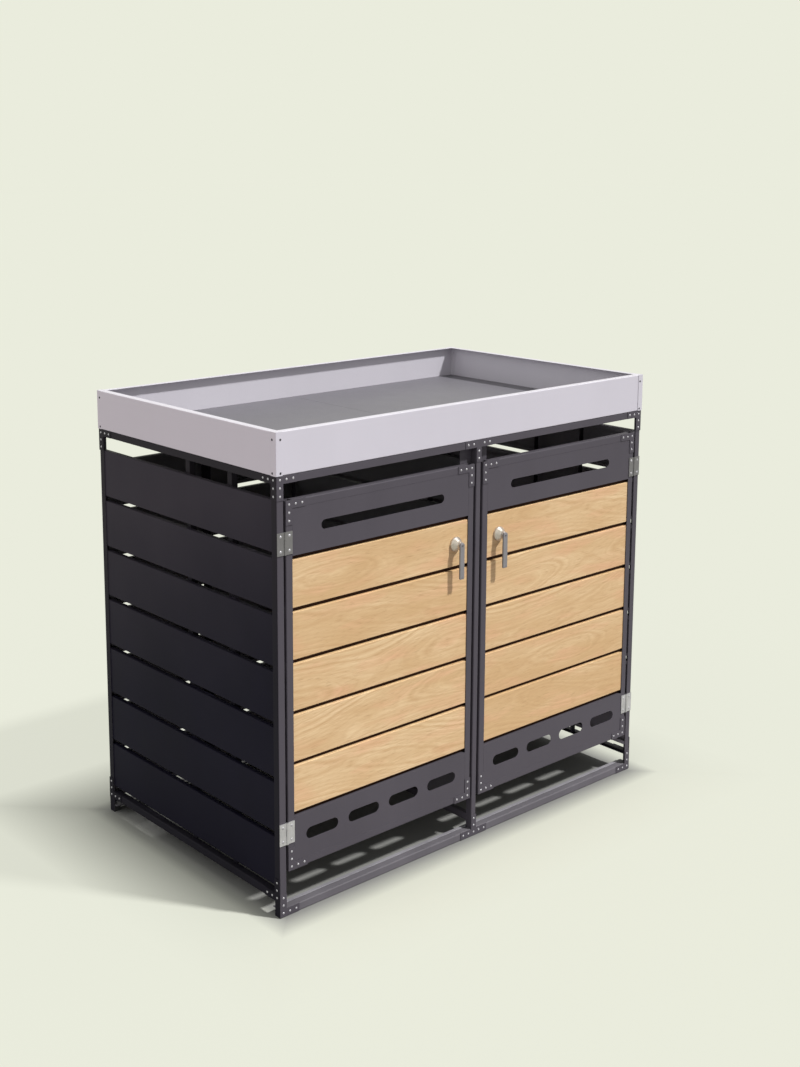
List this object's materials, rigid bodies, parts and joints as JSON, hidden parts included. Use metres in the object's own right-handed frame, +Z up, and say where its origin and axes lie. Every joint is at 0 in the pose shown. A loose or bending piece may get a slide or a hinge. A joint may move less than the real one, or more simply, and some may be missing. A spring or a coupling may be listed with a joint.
{
  "type": "wheelie bin store",
  "caption": "Double wheelie bin store with an angle frame, slatted metal walls, hinged doors clad in wooden boards with lever locks, and a planter tray on top.",
  "frame": {"origin": "on the ground under the middle of the whole store, levers included", "axes": "+X to the right seen from the front, +Y towards the back, +Z up; the doors look along -Y"},
  "size_m": [1.3626, 0.8249, 1.226],
  "materials": {
    "anthracite": "satin powder coat",
    "tray_grey": "satin powder coat",
    "floor_grey": "satin powder coat",
    "zinc": "zinc plated",
    "rivet_steel": "dull",
    "lever_metal": "satin",
    "oak": "oiled, light",
    "black_plastic": "moulded"
  },
  "bodies": {
    "frame": {"front_left_post": "anthracite", "front_right_post": "anthracite", "back_left_post": "anthracite", "back_right_post": "anthracite", "front_centre_post": "anthracite", "back_centre_post": "anthracite", "foot_caps": "black_plastic", "front_top_rail": "anthracite", "back_top_rail": "anthracite", "front_bottom_rail": "anthracite", "back_bottom_rail": "anthracite", "side_top_rails": "anthracite", "side_bottom_rails": "anthracite", "centre_top_rail": "anthracite", "centre_bottom_rail": "anthracite", "left_wall_slats": "anthracite", "right_wall_slats": "anthracite", "partition_slats": "anthracite", "back_wall_slats": "anthracite", "slat_cleats": "anthracite", "front_gussets": "anthracite", "back_gussets": "anthracite", "side_gussets": "anthracite", "frame_hinge_leaves": "zinc", "hinge_pins": "zinc", "frame_hinge_screws": "rivet_steel", "frame_rivets": "rivet_steel", "tray_front_wall": "tray_grey", "tray_back_wall": "tray_grey", "tray_left_wall": "tray_grey", "tray_right_wall": "tray_grey", "tray_floor_sheets": "floor_grey", "tray_bearers": "zinc", "tray_rivets": "anthracite"},
    "left_door": {"left_door_hinge_stile": "anthracite", "left_door_free_stile": "anthracite", "left_door_rails": "anthracite", "left_door_top_panel": "anthracite", "left_door_bottom_panel": "anthracite", "left_door_boards": "oak", "left_door_gussets": "anthracite", "left_door_hinge_leaves": "zinc", "left_door_lock_rose": "lever_metal", "left_door_fasteners": "rivet_steel"},
    "right_door": {"right_door_hinge_stile": "anthracite", "right_door_free_stile": "anthracite", "right_door_rails": "anthracite", "right_door_top_panel": "anthracite", "right_door_bottom_panel": "anthracite", "right_door_boards": "oak", "right_door_gussets": "anthracite", "right_door_hinge_leaves": "zinc", "right_door_lock_rose": "lever_metal", "right_door_fasteners": "rivet_steel"},
    "left_handle": {"left_handle_lever": "lever_metal", "left_handle_spindle": "lever_metal", "left_handle_cam": "zinc"},
    "right_handle": {"right_handle_lever": "lever_metal", "right_handle_spindle": "lever_metal", "right_handle_cam": "zinc"}
  },
  "joints": [
    {"name": "left_door_hinge", "type": "hinge", "parent": "frame", "child": "left_door", "pos_m": [-0.6535, -0.38775, 0.586], "axis": [0, 0, -1], "range_deg": [0, 120]},
    {"name": "right_door_hinge", "type": "hinge", "parent": "frame", "child": "right_door", "pos_m": [0.6535, -0.38775, 0.586], "axis": [0, 0, 1], "range_deg": [0, 120]},
    {"name": "left_handle_turn", "type": "hinge", "parent": "left_door", "child": "left_handle", "pos_m": [-0.082, -0.36575, 0.85], "axis": [0, 1, 0], "range_deg": [0, 90]},
    {"name": "right_handle_turn", "type": "hinge", "parent": "right_door", "child": "right_handle", "pos_m": [0.082, -0.36575, 0.85], "axis": [0, -1, 0], "range_deg": [0, 90]}
  ]
}
